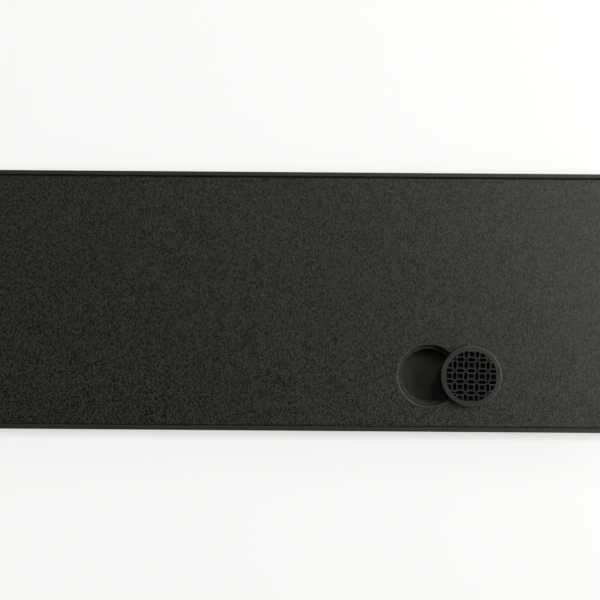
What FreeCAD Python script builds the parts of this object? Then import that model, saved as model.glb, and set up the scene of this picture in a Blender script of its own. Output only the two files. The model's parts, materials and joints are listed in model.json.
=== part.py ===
import FreeCAD, Part
import math
import os
import Sketcher

# Gongfu tea tray: a long milled board of black phenolic with a low rim, a round drain well with a
# loose coin-lattice cover, a drain fitting under the well and six rubber feet.
# +X runs to the right end, -Y to the front edge, +Z up. The origin is the middle of the footprint
# on the table. Lengths are millimetres, angles degrees.

doc = FreeCAD.newDocument("gongfu_tea_tray")
Vector = FreeCAD.Vector
QUARTER_TURN = math.pi / 2

# Driving dimensions: name, size, what it measures
SIZES = [
    ("board_length", 800, "left end to right end"),
    ("board_width", 300, "front edge to back edge"),
    ("board_thickness", 25, "underside to top of the rim"),
    ("corner_radius", 8, "outer corners of the board, seen from above"),
    ("edge_round", 1.2, "rounding of the board's upper edges"),
    ("edge_break", 0.8, "broken lower edges of the board"),
    ("rim_width", 4.4, "flat top of the rim"),
    ("rim_height", 2, "rim above the field"),
    ("rim_slope", 1, "run of the sloped inner face of the rim"),
    ("field_corner_radius", 5, "inner corners of the rim"),
    ("groove_width", 1.2, "narrow groove along the foot of the rim"),
    ("groove_depth", 2, "groove below the field"),
    ("well_from_right", 250, "right end of the board to the well's axis"),
    ("well_from_front", 65, "front edge of the board to the well's axis"),
    ("floor_thickness", 9, "board left under the well"),
    ("well_mouth_chamfer", 0.5, "broken edge where the well opens in the field"),
    ("well_floor_chamfer", 1.2, "corner between the well's wall and floor"),
    ("ledge_width", 4.6, "ledge that the cover's ring sits on"),
    ("cover_diameter", 70, "drain cover"),
    ("cover_thickness", 5, "drain cover, and depth of its seat"),
    ("cover_clearance", 1, "room around the cover in its seat"),
    ("cover_ring_width", 5.6, "solid ring round the lattice"),
    ("cover_chamfer", 0.6, "broken outer edges of the cover"),
    ("coin_pitch", 12.75, "spacing of the overlapping coin circles"),
    ("coin_diameter", 18.7, "coin circles, measured to the middle of their bars"),
    ("coin_bar", 1.2, "width of the lattice bars"),
    ("eyelet_diameter", 2.1, "small round hole where four coins meet"),
    ("eyelet_wall", 0.5, "lattice left round such a hole"),
    ("cover_shift", 48.5, "well's axis to the cover where it lies on the field"),
    ("cover_turn", 1.2, "clockwise turn of the cover where it lies"),
    ("drain_margin", 2.6, "floor left between the flange's recess and the well's wall"),
    ("tail_diameter", 12, "threaded shank of the drain tail"),
    ("tail_wall", 1.5, "wall of the drain tail round its water way"),
    ("tail_mouth_chamfer", 1, "eased mouth of the water way"),
    ("tail_engagement", 3, "end of the tail inside the elbow"),
    ("flange_lip", 1.4, "flange of the drain tail beyond its shank"),
    ("flange_thickness", 1.6, "flange of the drain tail"),
    ("flange_clearance", 0.3, "room around the flange in its recess"),
    ("gasket_thickness", 1, "soft ring under the flange"),
    ("port_clearance", 0.2, "room around the tail in the board and in plain rings"),
    ("thread_clearance", 0.05, "room around a threaded shank in its thread"),
    ("clamp_washer_lip", 4, "washer between board and lock nut, beyond the shank"),
    ("clamp_washer_thickness", 1, "washer between board and lock nut"),
    ("nut_wall", 3, "flats of the lock nut beyond the shank"),
    ("nut_thickness", 4, "lock nut"),
    ("nut_chamfer", 0.9, "height of the turned lower corners of the lock nut"),
    ("seal_thickness", 1, "soft ring between tail and elbow"),
    ("seal_seat", 0.5, "metal between the seal and the crosswise bore"),
    ("elbow_wall", 2.5, "upright body of the outlet elbow round the shank"),
    ("elbow_edge_chamfer", 1.2, "broken lower edge of the elbow's body"),
    ("spigot_diameter", 10, "hose spigot of the elbow"),
    ("spigot_wall", 1.75, "wall of the spigot round its water way"),
    ("spigot_length", 18, "spigot beyond the elbow's body"),
    ("spigot_chamfer", 0.8, "lead-in at the end of the spigot"),
    ("collar_lip", 1, "hose stop at the root of the spigot, beyond the spigot"),
    ("collar_width", 2, "hose stop beyond the elbow's body"),
    ("collar_rise", 0.5, "hose stop above the underside of the elbow"),
    ("sump_depth", 0.5, "bottom of the upright water way below the crosswise bore"),
    ("ground_gap", 2, "table to the underside of the elbow"),
    ("foot_inset", 42, "board's edges to the axis of a foot"),
    ("foot_wall", 6, "rubber round the screw's recess"),
    ("foot_web", 8, "rubber between the screw's recess and the board"),
    ("recess_clearance", 1, "room around the washer in the recess, which opens below"),
    ("foot_bore_clearance", 0.3, "room around the screw in foot and washer"),
    ("foot_washer_lip", 3, "washer beyond the screw head"),
    ("foot_washer_thickness", 1.2, "washer under the screw head"),
    ("screw_diameter", 4, "foot screw"),
    ("screw_head_lip", 2, "pan head of the foot screw beyond its shank"),
    ("screw_head_height", 2.8, "pan head of the foot screw"),
    ("screw_bite", 10, "foot screw inside the board"),
    ("cross_span", 4.4, "cross recess, tip to tip"),
    ("cross_width", 1.2, "arms of the cross recess"),
    ("cross_depth", 1.5, "cross recess"),
    ("pilot_spare", 2, "hole in the board beyond the screw's end"),
]

# Sizes that follow from the driving ones
DERIVED = [
    ("spigot_bore", "=sizes.spigot_diameter - 2 * sizes.spigot_wall", "water way through the spigot"),
    ("collar_radius", "=sizes.spigot_diameter / 2 + sizes.collar_lip", "hose stop of the spigot"),
    ("spigot_height", "=collar_radius + sizes.collar_rise", "axis of the spigot above the underside"),
    ("elbow_height", "=spigot_height + spigot_bore / 2 + sizes.seal_seat"
                     " + sizes.seal_thickness + sizes.tail_engagement", "underside to top of the elbow"),
    ("nut_level", "=sizes.ground_gap + elbow_height", "underside of the lock nut"),
    ("washer_level", "=nut_level + sizes.nut_thickness", "underside of the clamp washer"),
    ("board_level", "=washer_level + sizes.clamp_washer_thickness", "underside of the board"),
    ("field_height", "=sizes.board_thickness - sizes.rim_height", "field above the underside"),
    ("seat_height", "=field_height - sizes.cover_thickness", "ledge above the underside"),
    ("port_height", "=sizes.floor_thickness - sizes.flange_thickness - sizes.gasket_thickness",
     "floor of the flange's recess above the underside"),
    ("field_length", "=sizes.board_length - 2 * sizes.rim_width", "opening of the rim"),
    ("field_width", "=sizes.board_width - 2 * sizes.rim_width", "opening of the rim"),
    ("groove_length", "=field_length - 2 * sizes.rim_slope", "outer side of the groove"),
    ("groove_span", "=field_width - 2 * sizes.rim_slope", "outer side of the groove"),
    ("groove_corner", "=sizes.field_corner_radius - sizes.rim_slope", "outer side of the groove"),
    ("island_length", "=groove_length - 2 * sizes.groove_width", "field inside the groove"),
    ("island_width", "=groove_span - 2 * sizes.groove_width", "field inside the groove"),
    ("island_corner", "=groove_corner - sizes.groove_width", "field inside the groove"),
    ("well_x", "=sizes.board_length / 2 - sizes.well_from_right", "axis of the well"),
    ("well_y", "=sizes.well_from_front - sizes.board_width / 2", "axis of the well"),
    ("seat_radius", "=sizes.cover_diameter / 2 + sizes.cover_clearance", "seat of the cover"),
    ("well_radius", "=seat_radius - sizes.ledge_width", "bore below the ledge"),
    ("flange_radius", "=sizes.tail_diameter / 2 + sizes.flange_lip", "flange of the drain tail"),
    ("port_radius", "=flange_radius + sizes.flange_clearance", "recess for the flange"),
    ("drain_x", "=well_x + well_radius - sizes.drain_margin - port_radius", "axis of the drain"),
    ("tail_bore", "=sizes.tail_diameter - 2 * sizes.tail_wall", "water way through the tail"),
    ("hole_radius", "=sizes.tail_diameter / 2 + sizes.port_clearance", "plain hole for the tail"),
    ("thread_radius", "=sizes.tail_diameter / 2 + sizes.thread_clearance", "thread for the tail"),
    ("shank_length", "=sizes.gasket_thickness + port_height + sizes.clamp_washer_thickness"
                     " + sizes.nut_thickness + sizes.tail_engagement", "tail below its flange"),
    ("nut_flat", "=sizes.tail_diameter / 2 + sizes.nut_wall", "axis to a flat of the lock nut"),
    ("nut_corner", "=2 * nut_flat / sqrt(3)", "axis to a corner of the lock nut"),
    ("elbow_radius", "=sizes.tail_diameter / 2 + sizes.elbow_wall", "upright body of the elbow"),
    ("socket_depth", "=sizes.tail_engagement + sizes.seal_thickness", "elbow's socket"),
    ("foot_x", "=sizes.board_length / 2 - sizes.foot_inset", "axis of the outer feet"),
    ("foot_y", "=sizes.board_width / 2 - sizes.foot_inset", "axis of the feet"),
    ("recess_height", "=board_level - sizes.foot_web", "top of a foot's recess above the table"),
    ("head_level", "=recess_height - sizes.foot_washer_thickness - sizes.screw_head_height",
     "underside of a screw head"),
    ("head_radius", "=sizes.screw_diameter / 2 + sizes.screw_head_lip", "pan head of a screw"),
    ("foot_washer_radius", "=head_radius + sizes.foot_washer_lip", "washer under a screw head"),
    ("recess_radius", "=foot_washer_radius + sizes.recess_clearance", "recess of a foot"),
    ("foot_radius", "=recess_radius + sizes.foot_wall", "outside of a foot"),
    ("foot_bore", "=sizes.screw_diameter + 2 * sizes.foot_bore_clearance", "hole for the screw"),
    ("screw_length", "=sizes.screw_head_height + sizes.foot_washer_thickness + sizes.foot_web"
                     " + sizes.screw_bite", "head and shank together"),
    ("lattice_radius", "=sizes.cover_diameter / 2 - sizes.cover_ring_width", "inside of the ring"),
    ("coin_reach", "=ceil(lattice_radius / sizes.coin_pitch)", "coins from the middle to the ring"),
    ("coin_row", "=2 * coin_reach + 1", "coins in one row"),
]


def make_sheet(name, rows):
    """A sheet with one aliased cell per size."""
    sheet = doc.addObject("Spreadsheet::Sheet", name)
    for row, (alias, content, meaning) in enumerate(rows, start=1):
        sheet.set(f"A{row}", alias)
        sheet.set(f"B{row}", str(content))
        sheet.set(f"C{row}", meaning)
        sheet.setAlias(f"B{row}", alias)
    doc.recompute()
    return sheet


sizes = make_sheet("sizes", SIZES)
derived = make_sheet("derived", DERIVED)


def make_body(name, x="0", y="0", z="0"):
    """An empty body whose own origin stands at the given place."""
    body = doc.addObject("PartDesign::Body", name)
    body.Label = name
    for axis, place in (("x", x), ("y", y), ("z", z)):
        body.setExpression(f"Placement.Base.{axis}", place)
    return body


def make_sketch(body, name, plane="XY_Plane", shift=("0", "0", "0")):
    """A sketch on one of the body's own planes, moved within that plane's axes."""
    sketch = body.newObject("Sketcher::SketchObject", name)
    for feature in body.Origin.OriginFeatures:
        if feature.Role == plane:
            sketch.AttachmentSupport = [(feature, "")]
    sketch.MapMode = "FlatFace"
    for axis, distance in zip("xyz", shift):
        sketch.setExpression(f"AttachmentOffset.Base.{axis}", distance)
    return sketch


def size_constraint(sketch, name, formula, *constraint):
    """A dimension of the sketch, tied to a formula of the sheets."""
    index = sketch.addConstraint(Sketcher.Constraint(*constraint))
    sketch.renameConstraint(index, name)
    sketch.setExpression(f"Constraints.{name}", formula)


def draw_circle(sketch, name, diameter):
    """A circle about the sketch's origin."""
    circle = sketch.addGeometry(Part.Circle(Vector(0, 0, 0), Vector(0, 0, 1), 1))
    sketch.addConstraint(Sketcher.Constraint("Coincident", circle, 3, -1, 1))
    size_constraint(sketch, name, diameter, "Diameter", circle, 2)


def draw_outline(sketch, corners):
    """A closed outline whose corners are given as (across, up) formulas; "0" lies on an axis."""
    count = len(corners)
    first = sketch.GeometryCount
    start = [Vector(1 + corner, corner * corner, 0) for corner in range(count)]
    for corner in range(count):
        sketch.addGeometry(Part.LineSegment(start[corner], start[(corner + 1) % count]))
    for corner in range(count):
        following = first + (corner + 1) % count
        sketch.addConstraint(Sketcher.Constraint("Coincident", first + corner, 2, following, 1))
    for corner, place in enumerate(corners):
        line = first + corner
        for direction, crossing_axis, formula in (("X", -2, place[0]), ("Y", -1, place[1])):
            if formula == "0":
                sketch.addConstraint(Sketcher.Constraint("PointOnObject", line, 1, crossing_axis))
            else:
                now = start[corner].x if direction == "X" else start[corner].y
                size_constraint(sketch, f"corner{line}{direction}", formula,
                                f"Distance{direction}", -1, 1, line, 1, now)


def draw_rounded_rectangle(sketch, name, length, width, radius):
    """A rectangle with round corners about the sketch's origin; each size is (sheet, alias)."""
    half_length = getattr(*length) / 2
    half_width = getattr(*width) / 2
    corner = getattr(*radius)
    first = sketch.GeometryCount
    flat_x = half_length - corner
    flat_y = half_width - corner
    sides = [
        ((-flat_x, -half_width), (flat_x, -half_width)),
        ((half_length, -flat_y), (half_length, flat_y)),
        ((flat_x, half_width), (-flat_x, half_width)),
        ((-half_length, flat_y), (-half_length, -flat_y)),
    ]
    centres = [(flat_x, -flat_y), (flat_x, flat_y), (-flat_x, flat_y), (-flat_x, -flat_y)]
    for begin, end in sides:
        sketch.addGeometry(Part.LineSegment(Vector(*begin, 0), Vector(*end, 0)))
    for quarter, centre in enumerate(centres):
        circle = Part.Circle(Vector(*centre, 0), Vector(0, 0, 1), corner)
        begin_angle = (quarter - 1) * QUARTER_TURN
        sketch.addGeometry(Part.ArcOfCircle(circle, begin_angle, begin_angle + QUARTER_TURN))
    bottom, right, top, left = range(first, first + 4)
    for quarter in range(4):
        arc = first + 4 + quarter
        sketch.addConstraint(Sketcher.Constraint("Tangent", first + quarter, 2, arc, 1))
        sketch.addConstraint(Sketcher.Constraint("Tangent", arc, 2, first + (quarter + 1) % 4, 1))
    for side in (bottom, top):
        sketch.addConstraint(Sketcher.Constraint("Horizontal", side))
    for side in (right, left):
        sketch.addConstraint(Sketcher.Constraint("Vertical", side))
    for quarter in range(1, 4):
        sketch.addConstraint(Sketcher.Constraint("Equal", first + 4, first + 4 + quarter))
    sketch.addConstraint(Sketcher.Constraint("Symmetric", first + 4, 3, first + 6, 3, -1, 1))
    size_constraint(sketch, f"{name}_length", ".".join((length[0].Name, length[1])),
                    "DistanceX", left, 1, right, 1, 2 * half_length)
    size_constraint(sketch, f"{name}_width", ".".join((width[0].Name, width[1])),
                    "DistanceY", bottom, 1, top, 1, 2 * half_width)
    size_constraint(sketch, f"{name}_radius", ".".join((radius[0].Name, radius[1])),
                    "Radius", first + 4, corner)


def add_feature(body, kind, name, sketch, **formulas):
    """A sketch-based feature as the body's new tip, with its sizes tied to formulas."""
    feature = body.newObject(f"PartDesign::{kind}", name)
    feature.Profile = sketch
    for size, formula in formulas.items():
        feature.setExpression(size, formula)
    body.Tip = feature
    return feature


def turn(body, kind, name, sketch):
    """A full turn of a half-section about the sketch's upright axis."""
    feature = body.newObject(f"PartDesign::{kind}", name)
    feature.Profile = sketch
    feature.ReferenceAxis = (sketch, ["V_Axis"])
    feature.Angle = 360
    body.Tip = feature
    return feature


def repeat_in_rows(body, name, original, sketch, across, across_count, up, up_count):
    """Copies of a feature in a grid along both axes of its sketch."""
    pattern = body.newObject("PartDesign::LinearPattern", name)
    pattern.Originals = [original]
    pattern.Direction = (sketch, ["H_Axis"])
    pattern.Direction2 = (sketch, ["V_Axis"])
    pattern.setExpression("Length", across)
    pattern.setExpression("Occurrences", across_count)
    pattern.setExpression("Length2", up)
    pattern.setExpression("Occurrences2", up_count)
    body.Tip = pattern
    return pattern


def flat_ring(name, place, outer_diameter, inner_diameter, thickness):
    """A washer, gasket or seal."""
    body = make_body(name, *place)
    sketch = make_sketch(body, f"{name}_section")
    draw_circle(sketch, "outside", outer_diameter)
    draw_circle(sketch, "inside", inner_diameter)
    add_feature(body, "Pad", f"{name}_pad", sketch, Length=thickness)
    return body


def level_faces(feature, way):
    """Names of a feature's flat faces that look up (1) or down (-1)."""
    return [f"Face{number}" for number, face in enumerate(feature.Shape.Faces, start=1)
            if isinstance(face.Surface, Part.Plane) and way * face.normalAt(0, 0).z > 0.5]


def make_tray_board():
    """Board with its raised rim, groove, stepped drain well, drain port and screw holes."""
    body = make_body("tray_board", z="derived.board_level")

    outline = make_sketch(body, "board_outline")
    draw_rounded_rectangle(outline, "board", (sizes, "board_length"), (sizes, "board_width"),
                           (sizes, "corner_radius"))
    slab = add_feature(body, "Pad", "board_slab", outline, Length="sizes.board_thickness")
    doc.recompute()

    upper = body.newObject("PartDesign::Fillet", "upper_edges")
    upper.Base = (slab, level_faces(slab, 1))
    upper.setExpression("Radius", "sizes.edge_round")
    body.Tip = upper
    doc.recompute()

    lower = body.newObject("PartDesign::Chamfer", "lower_edges")
    lower.Base = (upper, level_faces(upper, -1))
    lower.setExpression("Size", "sizes.edge_break")
    body.Tip = lower

    rim = make_sketch(body, "rim_opening", shift=("0", "0", "sizes.board_thickness"))
    draw_rounded_rectangle(rim, "field", (derived, "field_length"), (derived, "field_width"),
                           (sizes, "field_corner_radius"))
    add_feature(body, "Pocket", "field", rim, Length="sizes.rim_height",
                TaperAngle="-atan(sizes.rim_slope / sizes.rim_height)")

    border = make_sketch(body, "groove_border", shift=("0", "0", "derived.field_height"))
    draw_rounded_rectangle(border, "outside", (derived, "groove_length"), (derived, "groove_span"),
                           (derived, "groove_corner"))
    draw_rounded_rectangle(border, "inside", (derived, "island_length"), (derived, "island_width"),
                           (derived, "island_corner"))
    add_feature(body, "Pocket", "rim_groove", border, Length="sizes.groove_depth")

    # Half-section of the well: broken mouth, seat, ledge, bore and floor
    section = make_sketch(body, "well_section", "XZ_Plane", ("derived.well_x", "0", "-derived.well_y"))
    draw_outline(section, [
        ("0", "sizes.floor_thickness"),
        ("derived.well_radius - sizes.well_floor_chamfer", "sizes.floor_thickness"),
        ("derived.well_radius", "sizes.floor_thickness + sizes.well_floor_chamfer"),
        ("derived.well_radius", "derived.seat_height"),
        ("derived.seat_radius", "derived.seat_height"),
        ("derived.seat_radius", "derived.field_height - sizes.well_mouth_chamfer"),
        ("derived.seat_radius + sizes.well_mouth_chamfer", "derived.field_height"),
        ("0", "derived.field_height"),
    ])
    turn(body, "Groove", "drain_well", section)

    # Half-section of the drain port: recess for the gasket and flange, then a hole for the tail
    port = make_sketch(body, "port_section", "XZ_Plane", ("derived.drain_x", "0", "-derived.well_y"))
    draw_outline(port, [
        ("0", "0"),
        ("derived.hole_radius", "0"),
        ("derived.hole_radius", "derived.port_height"),
        ("derived.port_radius", "derived.port_height"),
        ("derived.port_radius", "sizes.floor_thickness"),
        ("0", "sizes.floor_thickness"),
    ])
    turn(body, "Groove", "drain_port", port)

    first_hole = make_sketch(body, "screw_hole", shift=("-derived.foot_x", "-derived.foot_y", "0"))
    draw_circle(first_hole, "hole", "sizes.screw_diameter + 2 * sizes.thread_clearance")
    hole = add_feature(body, "Pocket", "first_screw_hole", first_hole,
                       Length="sizes.screw_bite + sizes.pilot_spare")
    hole.Reversed = True
    repeat_in_rows(body, "screw_holes", hole, first_hole, "2 * derived.foot_x", "3",
                   "2 * derived.foot_y", "2")
    return body


def make_drain_cover():
    """Loose round cover: a lattice of overlapping coin circles with eyelets, inside a solid ring."""
    body = make_body("drain_cover", "derived.well_x + sizes.cover_shift", "derived.well_y",
                     "derived.board_level + derived.field_height")
    body.Placement.Rotation = FreeCAD.Rotation(Vector(0, 0, -1), 1)
    body.setExpression("Placement.Rotation.Angle", "sizes.cover_turn * 1 deg")

    corner = "-derived.coin_reach * sizes.coin_pitch"
    coin_sketch = make_sketch(body, "coin_circle", shift=(corner, corner, "0"))
    draw_circle(coin_sketch, "outside", "sizes.coin_diameter + sizes.coin_bar")
    draw_circle(coin_sketch, "inside", "sizes.coin_diameter - sizes.coin_bar")
    coin = add_feature(body, "Pad", "corner_coin", coin_sketch, Length="sizes.cover_thickness")
    span = "2 * derived.coin_reach * sizes.coin_pitch"
    repeat_in_rows(body, "coin_lattice", coin, coin_sketch, span, "derived.coin_row",
                   span, "derived.coin_row")

    # Four coins meet at each corner of a cell, round a small eyelet
    corner = "(0.5 - derived.coin_reach) * sizes.coin_pitch"
    span = "(2 * derived.coin_reach - 1) * sizes.coin_pitch"
    boss_sketch = make_sketch(body, "eyelet_boss", shift=(corner, corner, "0"))
    draw_circle(boss_sketch, "boss", "sizes.eyelet_diameter + 2 * sizes.eyelet_wall")
    boss = add_feature(body, "Pad", "corner_boss", boss_sketch, Length="sizes.cover_thickness")
    repeat_in_rows(body, "eyelet_bosses", boss, boss_sketch, span, "2 * derived.coin_reach",
                   span, "2 * derived.coin_reach")
    hole_sketch = make_sketch(body, "eyelet_hole", shift=(corner, corner, "sizes.cover_thickness"))
    draw_circle(hole_sketch, "hole", "sizes.eyelet_diameter")
    hole = add_feature(body, "Pocket", "corner_eyelet", hole_sketch, Length="sizes.cover_thickness")
    repeat_in_rows(body, "eyelets", hole, hole_sketch, span, "2 * derived.coin_reach",
                   span, "2 * derived.coin_reach")

    # The lattice is cut round in the middle of the ring's width, then the ring is laid over the cut
    trim = make_sketch(body, "lattice_trim", shift=("0", "0", "sizes.cover_thickness"))
    draw_circle(trim, "inside", "2 * derived.lattice_radius + sizes.cover_ring_width")
    draw_circle(trim, "outside", "4 * derived.coin_row * sizes.coin_pitch")
    add_feature(body, "Pocket", "round_lattice", trim, Length="sizes.cover_thickness")

    ring = make_sketch(body, "ring_section", "XZ_Plane")
    draw_outline(ring, [
        ("derived.lattice_radius", "0"),
        ("sizes.cover_diameter / 2 - sizes.cover_chamfer", "0"),
        ("sizes.cover_diameter / 2", "sizes.cover_chamfer"),
        ("sizes.cover_diameter / 2", "sizes.cover_thickness - sizes.cover_chamfer"),
        ("sizes.cover_diameter / 2 - sizes.cover_chamfer", "sizes.cover_thickness"),
        ("derived.lattice_radius", "sizes.cover_thickness"),
    ])
    turn(body, "Revolution", "cover_ring", ring)
    return body


def make_drain_tail():
    """Flanged tube that hangs in the drain port and carries the nut and the elbow."""
    body = make_body("drain_tail", "derived.drain_x", "derived.well_y",
                     "derived.nut_level - sizes.tail_engagement")
    top = "derived.shank_length + sizes.flange_thickness"
    section = make_sketch(body, "tail_section", "XZ_Plane")
    draw_outline(section, [
        ("derived.tail_bore / 2", "0"),
        ("sizes.tail_diameter / 2", "0"),
        ("sizes.tail_diameter / 2", "derived.shank_length"),
        ("derived.flange_radius", "derived.shank_length"),
        ("derived.flange_radius", top),
        ("derived.tail_bore / 2 + sizes.tail_mouth_chamfer", top),
        ("derived.tail_bore / 2", f"{top} - sizes.tail_mouth_chamfer"),
    ])
    turn(body, "Revolution", "tail_turning", section)
    return body


def make_lock_nut():
    """Hexagon nut with turned lower corners that clamps the tail to the board."""
    body = make_body("lock_nut", "derived.drain_x", "derived.well_y", "derived.nut_level")
    hexagon = body.newObject("PartDesign::AdditivePrism", "nut_hexagon")
    hexagon.Polygon = 6
    hexagon.setExpression("Circumradius", "derived.nut_corner")
    hexagon.setExpression("Height", "sizes.nut_thickness")
    body.Tip = hexagon

    thread = make_sketch(body, "nut_thread", shift=("0", "0", "sizes.nut_thickness"))
    draw_circle(thread, "thread", "2 * derived.thread_radius")
    add_feature(body, "Pocket", "nut_bore", thread, Length="sizes.nut_thickness")

    section = make_sketch(body, "nut_corner_section", "XZ_Plane")
    draw_outline(section, [
        ("derived.nut_flat", "0"),
        ("derived.nut_corner", "0"),
        ("derived.nut_corner", "sizes.nut_chamfer"),
    ])
    turn(body, "Groove", "nut_corners", section)
    return body


def make_outlet_elbow():
    """Elbow under the lock nut: an upright socket and a smooth spigot for a hose, towards the front."""
    body = make_body("outlet_elbow", "derived.drain_x", "derived.well_y", "sizes.ground_gap")
    collar_end = "derived.elbow_radius + sizes.collar_width"
    reach = "derived.elbow_radius + sizes.spigot_length"

    section = make_sketch(body, "elbow_section", "XZ_Plane")
    draw_outline(section, [
        ("0", "0"),
        ("derived.elbow_radius - sizes.elbow_edge_chamfer", "0"),
        ("derived.elbow_radius", "sizes.elbow_edge_chamfer"),
        ("derived.elbow_radius", "derived.elbow_height"),
        ("0", "derived.elbow_height"),
    ])
    turn(body, "Revolution", "elbow_turning", section)

    # The spigot is turned about its own axis, which runs along the sketch's upright axis
    spigot = make_sketch(body, "spigot_section", "XY_Plane", ("0", "0", "derived.spigot_height"))
    spigot.AttachmentOffset.Rotation = FreeCAD.Rotation(Vector(0, 0, 1), 180)
    draw_outline(spigot, [
        ("0", "0"),
        ("derived.collar_radius", "0"),
        ("derived.collar_radius", collar_end),
        ("sizes.spigot_diameter / 2", collar_end),
        ("sizes.spigot_diameter / 2", f"{reach} - sizes.spigot_chamfer"),
        ("sizes.spigot_diameter / 2 - sizes.spigot_chamfer", reach),
        ("0", reach),
    ])
    turn(body, "Revolution", "spigot_turning", spigot)

    socket = make_sketch(body, "socket_section", "XZ_Plane")
    seat = "derived.elbow_height - derived.socket_depth"
    sump = "derived.spigot_height - derived.spigot_bore / 2 - sizes.sump_depth"
    draw_outline(socket, [
        ("0", sump),
        ("derived.tail_bore / 2", sump),
        ("derived.tail_bore / 2", seat),
        ("derived.thread_radius", seat),
        ("derived.thread_radius", "derived.elbow_height"),
        ("0", "derived.elbow_height"),
    ])
    turn(body, "Groove", "elbow_socket", socket)

    bore = make_sketch(body, "spigot_bore", "XZ_Plane")
    circle = bore.addGeometry(Part.Circle(Vector(0, 1, 0), Vector(0, 0, 1), 1))
    bore.addConstraint(Sketcher.Constraint("PointOnObject", circle, 3, -2))
    size_constraint(bore, "height", "derived.spigot_height", "DistanceY", -1, 1, circle, 3, 1)
    size_constraint(bore, "bore", "derived.spigot_bore", "Diameter", circle, 2)
    way = add_feature(body, "Pocket", "spigot_water_way", bore, Length=reach)
    way.Reversed = True
    return body


def make_foot(name, x, y):
    """Round rubber foot with a recess for its screw, open towards the table."""
    body = make_body(name, x, y)
    section = make_sketch(body, f"{name}_section", "XZ_Plane")
    draw_outline(section, [
        ("derived.recess_radius", "0"),
        ("derived.foot_radius", "0"),
        ("derived.foot_radius", "derived.board_level"),
        ("derived.foot_bore / 2", "derived.board_level"),
        ("derived.foot_bore / 2", "derived.recess_height"),
        ("derived.recess_radius", "derived.recess_height"),
    ])
    turn(body, "Revolution", f"{name}_moulding", section)
    return body


def make_foot_washers():
    """One plain washer in every foot, under the screw head."""
    body = flat_ring("foot_washers", ("-derived.foot_x", "-derived.foot_y",
                                      "derived.recess_height - sizes.foot_washer_thickness"),
                     "2 * derived.foot_washer_radius", "derived.foot_bore",
                     "sizes.foot_washer_thickness")
    washer = body.Tip
    repeat_in_rows(body, "all_washers", washer, washer.Profile[0], "2 * derived.foot_x", "3",
                   "2 * derived.foot_y", "2")
    return body


def make_foot_screws():
    """One pan-head screw with a cross recess in every foot."""
    body = make_body("foot_screws", "-derived.foot_x", "-derived.foot_y", "derived.head_level")
    shank = "sizes.screw_diameter / 2"
    section = make_sketch(body, "screw_section", "XZ_Plane")
    draw_outline(section, [
        ("0", "0"),
        ("derived.head_radius", "0"),
        ("derived.head_radius", "sizes.screw_head_height"),
        (shank, "sizes.screw_head_height"),
        (shank, "derived.screw_length"),
        ("0", "derived.screw_length"),
    ])
    screw = turn(body, "Revolution", "first_screw", section)

    # The cross is drawn from its lower left corner, so that every corner lies at a positive distance
    centring = "-sizes.cross_span / 2"
    inner = "sizes.cross_span / 2 - sizes.cross_width / 2"
    outer = "sizes.cross_span / 2 + sizes.cross_width / 2"
    cross_sketch = make_sketch(body, "cross_recess", shift=(centring, centring, "0"))
    draw_outline(cross_sketch, [
        (inner, "0"), (outer, "0"), (outer, inner), ("sizes.cross_span", inner),
        ("sizes.cross_span", outer), (outer, outer), (outer, "sizes.cross_span"),
        (inner, "sizes.cross_span"), (inner, outer), ("0", outer), ("0", inner), (inner, inner),
    ])
    cross = add_feature(body, "Pocket", "first_cross", cross_sketch, Length="sizes.cross_depth")
    cross.Reversed = True
    pattern = repeat_in_rows(body, "all_screws", screw, cross_sketch, "2 * derived.foot_x", "3",
                             "2 * derived.foot_y", "2")
    pattern.Originals = [screw, cross]
    return body


drain_place = ("derived.drain_x", "derived.well_y")
sub_parts = [
    make_tray_board(),
    make_drain_cover(),
    make_drain_tail(),
    flat_ring("flange_gasket", (*drain_place, "derived.board_level + derived.port_height"),
              "2 * derived.flange_radius", "2 * derived.hole_radius", "sizes.gasket_thickness"),
    flat_ring("clamp_washer", (*drain_place, "derived.washer_level"),
              "sizes.tail_diameter + 2 * sizes.clamp_washer_lip", "2 * derived.hole_radius",
              "sizes.clamp_washer_thickness"),
    make_lock_nut(),
    flat_ring("elbow_seal", (*drain_place, "derived.nut_level - derived.socket_depth"),
              "sizes.tail_diameter", "derived.tail_bore", "sizes.seal_thickness"),
    make_outlet_elbow(),
]
for row, y in (("front", "-derived.foot_y"), ("back", "derived.foot_y")):
    for column, x in (("left", "-derived.foot_x"), ("middle", "0"), ("right", "derived.foot_x")):
        sub_parts.append(make_foot(f"foot_{row}_{column}", x, y))
sub_parts.append(make_foot_washers())
sub_parts.append(make_foot_screws())
doc.recompute()

failed = [item.Label for item in doc.Objects if {"Invalid", "Error"} & set(item.State)]
failed += [part.Label for part in sub_parts if part.Shape.isNull() or not part.Shape.isValid()]
if failed:
    raise RuntimeError("these did not build: " + ", ".join(failed))

os.makedirs("parts", exist_ok=True)
for part in sub_parts:
    part.Shape.exportStep(f"parts/{part.Label}.step")
    print(f"{part.Label}: {len(part.Shape.Solids)} solid(s), {part.Shape.Volume / 1000:.3f} cm3")
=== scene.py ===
import json
import math

import bmesh
import bpy
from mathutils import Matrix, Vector


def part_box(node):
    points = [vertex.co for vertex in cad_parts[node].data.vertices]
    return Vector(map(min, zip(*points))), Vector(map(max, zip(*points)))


# Gongfu tea tray: a black phenolic board with a loose lattice cover, seen straight from above.
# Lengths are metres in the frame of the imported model; MM turns millimetres to metres.

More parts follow.
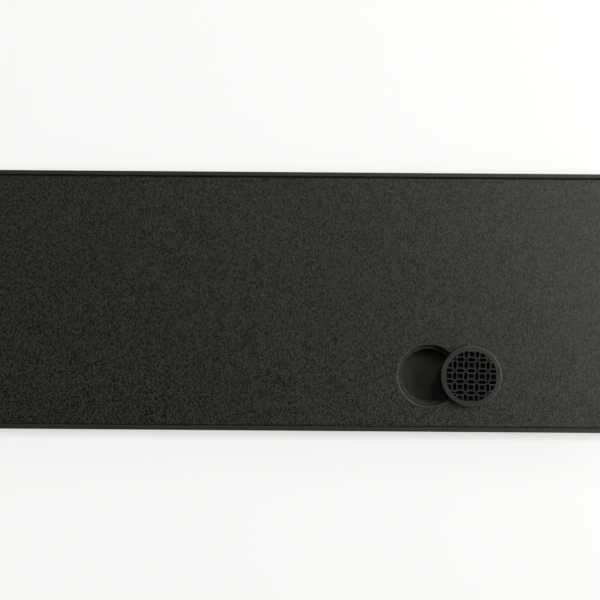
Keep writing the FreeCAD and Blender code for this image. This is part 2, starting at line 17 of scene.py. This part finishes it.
MM = 0.001
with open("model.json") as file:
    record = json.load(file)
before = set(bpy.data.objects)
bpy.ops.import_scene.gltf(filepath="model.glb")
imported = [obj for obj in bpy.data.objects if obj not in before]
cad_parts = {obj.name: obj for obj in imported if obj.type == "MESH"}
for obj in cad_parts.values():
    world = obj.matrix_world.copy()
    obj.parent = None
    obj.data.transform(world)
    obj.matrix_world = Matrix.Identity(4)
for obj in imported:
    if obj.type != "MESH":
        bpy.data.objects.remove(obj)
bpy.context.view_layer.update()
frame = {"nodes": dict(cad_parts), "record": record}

# Levels of the board and the cover, from their own boxes; the cover lies on the field
board_low, board_high = (Vector(corner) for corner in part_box("tray_board"))
cover_low, cover_high = (Vector(corner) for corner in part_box("drain_cover"))
RIM_TOP = board_high.z
FIELD_LEVEL = cover_low.z
WELL_FROM_RIGHT = 250 * MM
WELL_FROM_FRONT = 65 * MM
WELL_AXIS = Vector((board_high.x - WELL_FROM_RIGHT, board_low.y + WELL_FROM_FRONT, 0))
WELL_TOP = FIELD_LEVEL - 1 * MM

# Finish of the board and the cover; an edge has the height of its middle and half its own height
FIELD_TOLERANCE = 0.2 * MM
GRAIN_WIDTH = 0.72 * MM
GRAIN_LENGTH = 1.3 * MM
GRAIN_DEPTH = 0.2 * MM
CUTTER_PITCH = 1.2 * MM
CUTTER_DEPTH = 0.01 * MM
# Cut edges painted pale: a painted highlight, partly also the paler cut resin
MOUTH_EDGE, MOUTH_EDGE_HALF = FIELD_LEVEL - 0.3 * MM, 0.25 * MM
COVER_EDGE, COVER_EDGE_HALF = cover_high.z - 0.3 * MM, 0.28 * MM
MILLED_WEAR = 0.54

# Spacing of the wave texture's rings at scale 1
WAVE_SPACING = math.pi / 10

# Sockets of a Mix node for colours: share of the second colour, both colours, and the result
MIX_SHARE, MIX_FIRST, MIX_SECOND, MIX_RESULT = 0, 6, 7, 2

# Shading of the nodes: triangles join at this distance, and edges are sharp above this bend
JOIN_DISTANCE = 0.001 * MM
SHARP_BEND = math.radians(28)

# Photograph: 600 pixels wide, and 694.7 mm of the rim's plane fit across it
SEEN_WIDTH = 694.7 * MM
CAMERA_ABOVE_RIM = 900 * MM
CAMERA_PLACE = (0.1 * MM, 1.7 * MM)
CAMERA_TURN = math.radians(0.43)
SENSOR_MM = 36

# Paper floor, in metres from its middle to its side, the share of the lit paper with its real shadow, and
# the painted shade close to the tray's front edge
FLOOR_REACH = 12
FLOOR_DROP = 0.05 * MM
PAPER_SHARE = 0.14
PAINTED_SHADE_REACH = 30 * MM
PAINTED_SHADE_POWER = 1.8

# Softboxes stand on a sphere round the tray, in a dim room with a white backdrop
SOFTBOX_SIZE = (600 * MM, 600 * MM)
WINDOW_SIZE = (2200 * MM, 1000 * MM)
SOFTBOX_DISTANCE = 2200 * MM
ROOM_LIGHT = 0.02
BACKDROP_WHITE = "#fffefc"
WALL_RISE = math.sin(math.radians(6))
CEILING_RISE = math.sin(math.radians(20))


def linear(hex_colour):
    """An sRGB hex colour as linear red, green, blue and alpha."""
    channels = [int(hex_colour[start:start + 2], 16) / 255 for start in (1, 3, 5)]
    return [c / 12.92 if c <= 0.04045 else ((c + 0.055) / 1.055) ** 2.4 for c in channels] + [1]


def add(tree, kind, inputs, **settings):
    """Adds a node with its settings; an input gets a value or the output that it is linked to."""
    node = tree.nodes.new(kind)
    for name, value in settings.items():
        setattr(node, name, value)
    for socket, value in inputs.items():
        if isinstance(value, bpy.types.NodeSocket):
            tree.links.new(value, node.inputs[socket])
        else:
            node.inputs[socket].default_value = value
    return node.outputs


def new_material(name):
    """An empty material and its node tree."""
    material = bpy.data.materials.new(name)
    material.use_nodes = True
    material.node_tree.nodes.clear()
    return material, material.node_tree


def make_phenolic_board():
    """Black phenolic sheet: a field pressed with a fine upright grain, a rim and well milled to a satin."""
    material, tree = new_material("phenolic_board_black")
    place = add(tree, "ShaderNodeTexCoord", {})["Object"]
    height = add(tree, "ShaderNodeSeparateXYZ", {"Vector": place})["Z"]
    on_field = add(tree, "ShaderNodeMath", {0: height, 1: FIELD_LEVEL, 2: FIELD_TOLERANCE},
                   operation="COMPARE")["Value"]

    # Pressed grains are longer from front to back, with hollows between them
    grain_place = add(tree, "ShaderNodeMapping", {
        "Vector": place, "Scale": (1 / GRAIN_WIDTH, 1 / GRAIN_LENGTH, 1 / GRAIN_WIDTH)})["Vector"]
    grain = add(tree, "ShaderNodeTexVoronoi", {"Vector": grain_place, "Scale": 1, "Smoothness": 0.1},
                feature="SMOOTH_F1")
    pressed = add(tree, "ShaderNodeMath", {0: grain["Distance"], 1: on_field}, operation="MULTIPLY")["Value"]
    field_relief = add(tree, "ShaderNodeBump", {"Height": pressed, "Distance": GRAIN_DEPTH, "Strength": 1},
                       invert=True)["Normal"]

    # Cutter marks of the well run round its axis, wider apart than real ones so that they show
    well_place = add(tree, "ShaderNodeMapping", {"Vector": place, "Location": -WELL_AXIS})["Vector"]
    marks = add(tree, "ShaderNodeTexWave", {"Vector": well_place, "Scale": WAVE_SPACING / CUTTER_PITCH,
                                            "Distortion": 1.5, "Detail": 1},
                wave_type="RINGS", rings_direction="Z")["Fac"]
    below = add(tree, "ShaderNodeMath", {0: height, 1: WELL_TOP}, operation="LESS_THAN")["Value"]
    turned = add(tree, "ShaderNodeMath", {0: marks, 1: below}, operation="MULTIPLY")["Value"]
    relief = add(tree, "ShaderNodeBump", {"Height": turned, "Distance": CUTTER_DEPTH, "Strength": 1,
                                          "Normal": field_relief})["Normal"]

    # Each grain is worn to its own tone, dark and glossy or pale and dull; milled faces are in between
    wear = add(tree, "ShaderNodeMix", {"Factor": on_field, "A": MILLED_WEAR, "B": grain["Color"]})["Result"]
    tone = add(tree, "ShaderNodeMapRange", {"Value": wear, "From Min": 0.42, "From Max": 0.62})["Result"]
    black = add(tree, "ShaderNodeMix",
                {MIX_SHARE: tone, MIX_FIRST: linear("#010101"), MIX_SECOND: linear("#363631")},
                data_type="RGBA")[MIX_RESULT]

    # Painted highlight: the cut edge round the well's mouth is painted pale, partly also as the paler cut
    # resin
    painted_edge_highlight = add(tree, "ShaderNodeMath", {0: height, 1: MOUTH_EDGE, 2: MOUTH_EDGE_HALF},
               operation="COMPARE")["Value"]
    colour = add(tree, "ShaderNodeMix",
                 {MIX_SHARE: painted_edge_highlight, MIX_FIRST: black, MIX_SECOND: linear("#4e4e47")},
                 data_type="RGBA")[MIX_RESULT]

    # Cloudy resin: slow changes of gloss, 45 mm across
    clouds = add(tree, "ShaderNodeTexNoise", {"Vector": place, "Scale": 1 / (45 * MM), "Detail": 3})["Fac"]
    dull = add(tree, "ShaderNodeMapRange", {"Value": clouds, "To Min": 0.35, "To Max": 0.41})["Result"]
    roughness = add(tree, "ShaderNodeMath", {0: wear, 1: 0.42, 2: dull}, operation="MULTIPLY_ADD")["Value"]
    shader = add(tree, "ShaderNodeBsdfPrincipled", {
        "Base Color": colour, "Roughness": roughness, "IOR": 1.4, "Normal": relief,
        "Specular Tint": linear("#fbffee")})["BSDF"]
    add(tree, "ShaderNodeOutputMaterial", {"Surface": shader})
    return material


def make_phenolic_cover():
    """Black phenolic, milled through: satin faces with a fine grit, and cut edges painted paler: a painted
    highlight, partly paler cut resin.
    """
    material, tree = new_material("phenolic_cover_black")
    place = add(tree, "ShaderNodeTexCoord", {})["Object"]
    grit = add(tree, "ShaderNodeTexNoise", {"Vector": place, "Scale": 1 / (0.8 * MM), "Detail": 2})["Fac"]
    clouds = add(tree, "ShaderNodeTexNoise", {"Vector": place, "Scale": 1 / (18 * MM), "Detail": 2})["Fac"]
    tone = add(tree, "ShaderNodeMapRange", {"Value": clouds, "From Min": 0.3, "From Max": 0.7})["Result"]
    black = add(tree, "ShaderNodeMix",
                {MIX_SHARE: tone, MIX_FIRST: linear("#1a1a18"), MIX_SECOND: linear("#20201e")},
                data_type="RGBA")[MIX_RESULT]
    height = add(tree, "ShaderNodeSeparateXYZ", {"Vector": place})["Z"]
    # Painted highlight: the top cut edges are painted paler, partly also as the paler cut resin
    painted_edge_highlight = add(tree, "ShaderNodeMath", {0: height, 1: COVER_EDGE, 2: COVER_EDGE_HALF},
               operation="COMPARE")["Value"]
    colour = add(tree, "ShaderNodeMix",
                 {MIX_SHARE: painted_edge_highlight, MIX_FIRST: black, MIX_SECOND: linear("#42423e")},
                 data_type="RGBA")[MIX_RESULT]
    roughness = add(tree, "ShaderNodeMapRange", {"Value": grit, "To Min": 0.54, "To Max": 0.66})["Result"]
    relief = add(tree, "ShaderNodeBump", {"Height": grit, "Distance": 0.02 * MM, "Strength": 1})["Normal"]
    shader = add(tree, "ShaderNodeBsdfPrincipled", {
        "Base Color": colour, "Roughness": roughness, "IOR": 1.45, "Normal": relief,
        "Specular Tint": linear("#fffff9")})["BSDF"]
    add(tree, "ShaderNodeOutputMaterial", {"Surface": shader})
    return material


def make_moulded_nylon():
    """Black moulded nylon: satin, with the fine spark-eroded texture of its mould and pale flow clouds."""
    material, tree = new_material("moulded_nylon_black")
    place = add(tree, "ShaderNodeTexCoord", {})["Object"]
    texture = add(tree, "ShaderNodeTexNoise", {"Vector": place, "Scale": 1 / (0.4 * MM), "Detail": 2})["Fac"]
    flow = add(tree, "ShaderNodeTexNoise", {"Vector": place, "Scale": 1 / (7 * MM), "Detail": 3})["Fac"]
    tone = add(tree, "ShaderNodeMapRange", {"Value": flow, "From Min": 0.35, "From Max": 0.7})["Result"]
    colour = add(tree, "ShaderNodeMix",
                 {MIX_SHARE: tone, MIX_FIRST: linear("#131313"), MIX_SECOND: linear("#1b1b1a")},
                 data_type="RGBA")[MIX_RESULT]
    roughness = add(tree, "ShaderNodeMapRange", {"Value": flow, "To Min": 0.36, "To Max": 0.5})["Result"]
    relief = add(tree, "ShaderNodeBump", {"Height": texture, "Distance": 0.02 * MM, "Strength": 1})["Normal"]
    shader = add(tree, "ShaderNodeBsdfPrincipled", {
        "Base Color": colour, "Roughness": roughness, "IOR": 1.53, "Normal": relief})["BSDF"]
    add(tree, "ShaderNodeOutputMaterial", {"Surface": shader})
    return material


def make_bright_steel():
    """Zinc-plated steel: cool bright metal with a faint cloudy plating."""
    material, tree = new_material("zinc_plated_steel")
    place = add(tree, "ShaderNodeTexCoord", {})["Object"]
    plating = add(tree, "ShaderNodeTexNoise", {"Vector": place, "Scale": 1 / (3 * MM), "Detail": 3})["Fac"]
    tone = add(tree, "ShaderNodeMapRange", {"Value": plating, "From Min": 0.35, "From Max": 0.65})["Result"]
    colour = add(tree, "ShaderNodeMix",
                 {MIX_SHARE: tone, MIX_FIRST: linear("#b4b8ba"), MIX_SECOND: linear("#cfd1d0")},
                 data_type="RGBA")[MIX_RESULT]
    roughness = add(tree, "ShaderNodeMapRange", {"Value": plating, "To Min": 0.2, "To Max": 0.36})["Result"]
    relief = add(tree, "ShaderNodeBump", {"Height": plating, "Distance": 0.01 * MM, "Strength": 1})["Normal"]
    shader = add(tree, "ShaderNodeBsdfPrincipled", {
        "Base Color": colour, "Metallic": 1, "Roughness": roughness, "Normal": relief})["BSDF"]
    add(tree, "ShaderNodeOutputMaterial", {"Surface": shader})
    return material


def make_white_silicone():
    """Moulded silicone: soft milky white that lets a little light through."""
    material, tree = new_material("white_silicone")
    place = add(tree, "ShaderNodeTexCoord", {})["Object"]
    milk = add(tree, "ShaderNodeTexNoise", {"Vector": place, "Scale": 1 / (4 * MM), "Detail": 2})["Fac"]
    tone = add(tree, "ShaderNodeMapRange", {"Value": milk, "From Min": 0.3, "From Max": 0.7})["Result"]
    colour = add(tree, "ShaderNodeMix",
                 {MIX_SHARE: tone, MIX_FIRST: linear("#dcdcd6"), MIX_SECOND: linear("#e8e8e3")},
                 data_type="RGBA")[MIX_RESULT]
    roughness = add(tree, "ShaderNodeMapRange", {"Value": milk, "To Min": 0.42, "To Max": 0.55})["Result"]
    shader = add(tree, "ShaderNodeBsdfPrincipled", {
        "Base Color": colour, "Roughness": roughness, "IOR": 1.41,
        "Subsurface Weight": 0.3, "Subsurface Radius": (1.0, 0.9, 0.8),
        "Subsurface Scale": 1 * MM})["BSDF"]
    add(tree, "ShaderNodeOutputMaterial", {"Surface": shader})
    return material


def make_black_rubber():
    """Moulded rubber: dull black with a fine stipple and a grey bloom."""
    material, tree = new_material("moulded_rubber_black")
    place = add(tree, "ShaderNodeTexCoord", {})["Object"]
    stipple = add(tree, "ShaderNodeTexVoronoi", {"Vector": place, "Scale": 1 / (0.7 * MM)})["Distance"]
    bloom = add(tree, "ShaderNodeTexNoise", {"Vector": place, "Scale": 1 / (9 * MM), "Detail": 3})["Fac"]
    tone = add(tree, "ShaderNodeMapRange", {"Value": bloom, "From Min": 0.35, "From Max": 0.7})["Result"]
    colour = add(tree, "ShaderNodeMix",
                 {MIX_SHARE: tone, MIX_FIRST: linear("#151515"), MIX_SECOND: linear("#232322")},
                 data_type="RGBA")[MIX_RESULT]
    roughness = add(tree, "ShaderNodeMapRange", {"Value": bloom, "To Min": 0.62, "To Max": 0.8})["Result"]
    relief = add(tree, "ShaderNodeBump", {"Height": stipple, "Distance": 0.04 * MM, "Strength": 1})["Normal"]
    shader = add(tree, "ShaderNodeBsdfPrincipled", {
        "Base Color": colour, "Roughness": roughness, "IOR": 1.52, "Normal": relief})["BSDF"]
    add(tree, "ShaderNodeOutputMaterial", {"Surface": shader})
    return material


def make_round_shading():
    """A node group that joins a node's loose triangles and shades them round between sharp edges."""
    group = bpy.data.node_groups.new("round_shading", "GeometryNodeTree")
    group.interface.new_socket("Geometry", in_out="INPUT", socket_type="NodeSocketGeometry")
    group.interface.new_socket("Geometry", in_out="OUTPUT", socket_type="NodeSocketGeometry")
    loose = add(group, "NodeGroupInput", {})["Geometry"]
    joined = add(group, "GeometryNodeMergeByDistance",
                 {"Geometry": loose, "Distance": JOIN_DISTANCE})["Geometry"]
    round_faces = add(group, "GeometryNodeSetShadeSmooth", {"Geometry": joined}, domain="FACE")["Geometry"]
    bend = add(group, "GeometryNodeInputMeshEdgeAngle", {})["Unsigned Angle"]
    gentle = add(group, "FunctionNodeCompare", {"A": bend, "B": SHARP_BEND},
                 operation="LESS_THAN")["Result"]
    shaded = add(group, "GeometryNodeSetShadeSmooth", {"Geometry": round_faces, "Shade Smooth": gentle},
                 domain="EDGE")["Geometry"]
    add(group, "NodeGroupOutput", {"Geometry": shaded})
    return group


def dress_nodes():
    """Gives every node the finish of its material slot and round shading."""
    finishes = {
        "phenolic_board": make_phenolic_board(),
        "phenolic_cover": make_phenolic_cover(),
        "nylon": make_moulded_nylon(),
        "steel": make_bright_steel(),
        "silicone": make_white_silicone(),
        "rubber": make_black_rubber(),
    }
    shading = make_round_shading()
    for sub_part in frame["record"]["subparts"]:
        node = frame["nodes"][sub_part["node"]]
        node.data.materials.clear()
        node.data.materials.append(finishes[sub_part["material_slot"]])
        node.modifiers.new("round_shading", "NODES").node_group = shading


def seen_rays(tree, path):
    """One for rays of the camera, of reflections and through glass, and zero for rays that only light."""
    seen = add(tree, "ShaderNodeMath", {0: path["Is Camera Ray"], 1: path["Is Glossy Ray"]},
               operation="MAXIMUM")["Value"]
    return add(tree, "ShaderNodeMath", {0: seen, 1: path["Is Transmission Ray"]},
               operation="MAXIMUM")["Value"]


def make_floor():
    """White paper under the tray: it keeps the shadow, shows as a white ground with a painted shade near the
    front edge, and is clear from below.
    """
    mesh = bpy.data.meshes.new("paper_floor")
    sheet = bmesh.new()
    bmesh.ops.create_grid(sheet, x_segments=1, y_segments=1, size=FLOOR_REACH)
    bmesh.ops.translate(sheet, verts=sheet.verts, vec=(0, 0, -FLOOR_DROP))
    sheet.to_mesh(mesh)
    sheet.free()
    floor = bpy.data.objects.new("paper_floor", mesh)
    bpy.context.scene.collection.objects.link(floor)

    material, tree = new_material("white_paper")
    paper = add(tree, "ShaderNodeBsdfDiffuse", {"Color": linear("#ececea")})["BSDF"]

    # Painted shade: the white glow is darkened by occlusion that looks backwards, a narrow shade close to
    # the front edge such as light from behind would leave
    backwards = add(tree, "ShaderNodeCombineXYZ", {"Y": 1, "Z": 1})["Vector"]
    painted_shade = add(tree, "ShaderNodeAmbientOcclusion", {"Distance": PAINTED_SHADE_REACH, "Normal": backwards})["AO"]
    deepened_painted_shade = add(tree, "ShaderNodeMath", {0: painted_shade, 1: PAINTED_SHADE_POWER}, operation="POWER")["Value"]
    glow_with_painted_shade = add(tree, "ShaderNodeEmission", {"Color": linear(BACKDROP_WHITE), "Strength": deepened_painted_shade})["Emission"]
    lifted = add(tree, "ShaderNodeMixShader", {"Fac": PAPER_SHARE, 1: glow_with_painted_shade, 2: paper})["Shader"]

    # Only what is seen is lifted to white, and only from above
    path = add(tree, "ShaderNodeLightPath", {})
    shown = add(tree, "ShaderNodeMixShader", {"Fac": seen_rays(tree, path), 1: paper, 2: lifted})["Shader"]
    back = add(tree, "ShaderNodeNewGeometry", {})["Backfacing"]
    clear = add(tree, "ShaderNodeBsdfTransparent", {})["BSDF"]
    one_sided = add(tree, "ShaderNodeMixShader", {"Fac": back, 1: shown, 2: clear})["Shader"]
    add(tree, "ShaderNodeOutputMaterial", {"Surface": one_sided})
    floor.data.materials.append(material)


def make_softbox(name, azimuth, elevation, size, watts):
    """A lamp that looks at the tray from an azimuth (from +X) and an elevation, in degrees."""
    lamp = bpy.data.lights.new(name, "AREA")
    lamp.shape = "RECTANGLE"
    lamp.size, lamp.size_y = size
    lamp.energy = watts
    lamp.color = linear("#fffefd")[:3]
    around, up = math.radians(azimuth), math.radians(elevation)
    way = Vector((math.cos(up) * math.cos(around), math.cos(up) * math.sin(around), math.sin(up)))
    box = bpy.data.objects.new(name, lamp)
    box.location = SOFTBOX_DISTANCE * way
    box.rotation_euler = (-way).to_track_quat("-Z", "Y").to_euler()
    bpy.context.scene.collection.objects.link(box)


def light_room():
    """A wide low window on the right, with weak lamps behind and on the left, under a dark ceiling."""
    make_softbox("window_right", azimuth=8, elevation=20, size=WINDOW_SIZE, watts=95)
    make_softbox("back_right", azimuth=62, elevation=36, size=SOFTBOX_SIZE, watts=17)
    make_softbox("back_top", azimuth=90, elevation=60, size=SOFTBOX_SIZE, watts=3)
    make_softbox("left_fill", azimuth=160, elevation=42, size=SOFTBOX_SIZE, watts=3)

    # The backdrop is white; reflections show white walls that fade into a dark ceiling
    world = bpy.data.worlds.new("dim_room")
    bpy.context.scene.world = world
    world.use_nodes = True
    tree = world.node_tree
    tree.nodes.clear()
    way = add(tree, "ShaderNodeTexCoord", {})["Generated"]
    rise = add(tree, "ShaderNodeSeparateXYZ", {"Vector": way})["Z"]
    fade = add(tree, "ShaderNodeMapRange",
               {"Value": rise, "From Min": WALL_RISE, "From Max": CEILING_RISE})["Result"]
    walls = add(tree, "ShaderNodeMix",
                {MIX_SHARE: fade, MIX_FIRST: linear(BACKDROP_WHITE), MIX_SECOND: linear("#262626")},
                data_type="RGBA")[MIX_RESULT]
    room = add(tree, "ShaderNodeBackground",
               {"Color": linear("#ffffff"), "Strength": ROOM_LIGHT})["Background"]
    mirrored = add(tree, "ShaderNodeBackground", {"Color": walls, "Strength": 1})["Background"]
    white = add(tree, "ShaderNodeBackground", {"Color": linear(BACKDROP_WHITE), "Strength": 1})["Background"]
    path = add(tree, "ShaderNodeLightPath", {})
    backdrop = add(tree, "ShaderNodeMixShader",
                   {"Fac": path["Is Camera Ray"], 1: mirrored, 2: white})["Shader"]
    shown = add(tree, "ShaderNodeMixShader", {"Fac": seen_rays(tree, path), 1: room, 2: backdrop})["Shader"]
    add(tree, "ShaderNodeOutputWorld", {"Surface": shown})


def place_camera():
    """Straight above the tray, turned a little, as the photograph was taken."""
    lens = bpy.data.cameras.new("photo_camera")
    lens.sensor_fit = "HORIZONTAL"
    lens.sensor_width = SENSOR_MM
    lens.lens = SENSOR_MM * CAMERA_ABOVE_RIM / SEEN_WIDTH
    camera = bpy.data.objects.new("photo_camera", lens)
    camera.location = (*CAMERA_PLACE, RIM_TOP + CAMERA_ABOVE_RIM)
    camera.rotation_euler = (0, 0, CAMERA_TURN)
    bpy.context.scene.collection.objects.link(camera)
    bpy.context.scene.camera = camera


dress_nodes()
make_floor()
light_room()
place_camera()
bpy.context.scene.view_settings.view_transform = "Standard"
